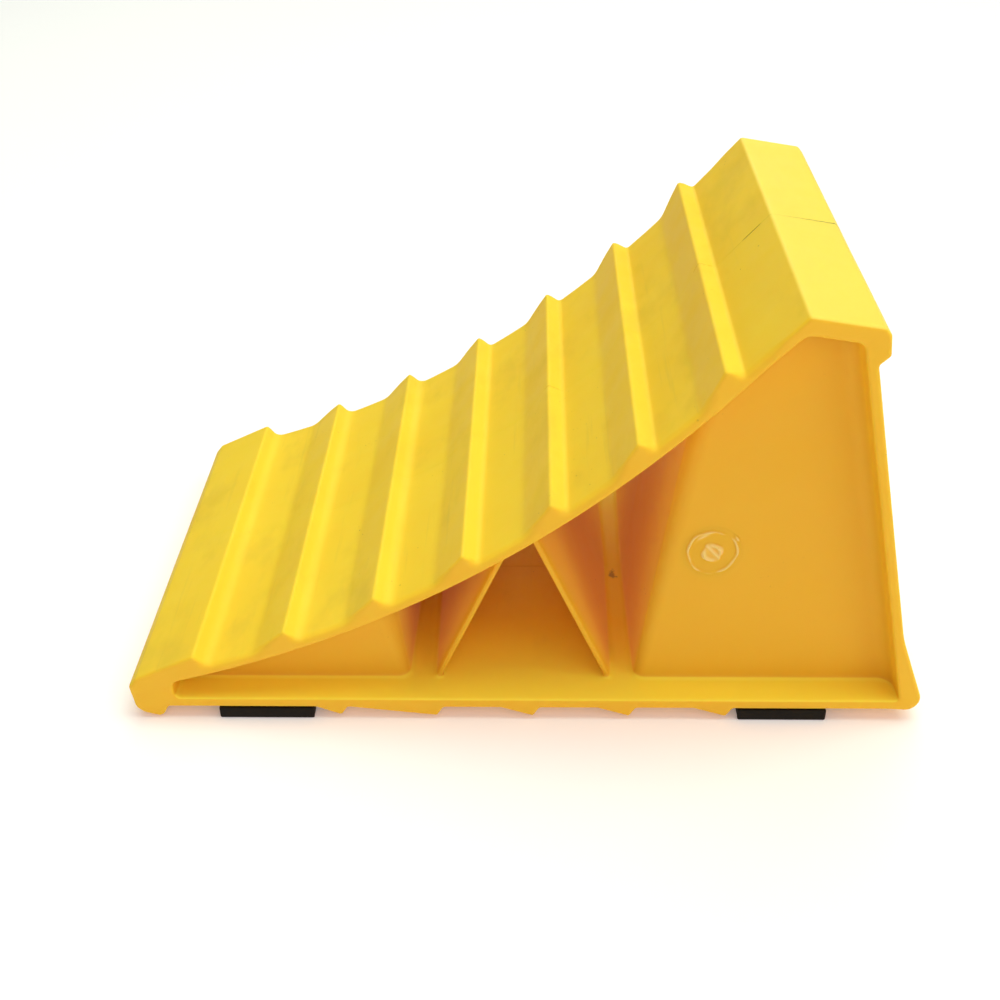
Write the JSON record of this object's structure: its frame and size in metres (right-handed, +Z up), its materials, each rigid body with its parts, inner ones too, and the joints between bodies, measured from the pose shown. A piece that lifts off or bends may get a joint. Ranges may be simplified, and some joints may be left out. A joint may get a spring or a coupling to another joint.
{
  "type": "wheel chock",
  "caption": "Wedge-shaped plastic wheel chock with a curved, saw-tooth ridged ramp, an open ribbed inside, a toothed base and rubber grip strips.",
  "frame": {"origin": "on the ground, in the middle of the rectangle that the chock covers", "axes": "+X from the thin toe towards the tall back, +Y across the width, +Z up"},
  "size_m": [0.2, 0.12, 0.11],
  "materials": {
    "yellow_plastic": "moulded yellow plastic, satin, slightly translucent, with light scuffs",
    "black_rubber": "black rubber, matt"
  },
  "bodies": {
    "root": {"near_half_shell": "yellow_plastic", "far_half_shell": "yellow_plastic", "front_rubber_strip": "black_rubber", "rear_rubber_strip": "black_rubber"}
  },
  "joints": []
}
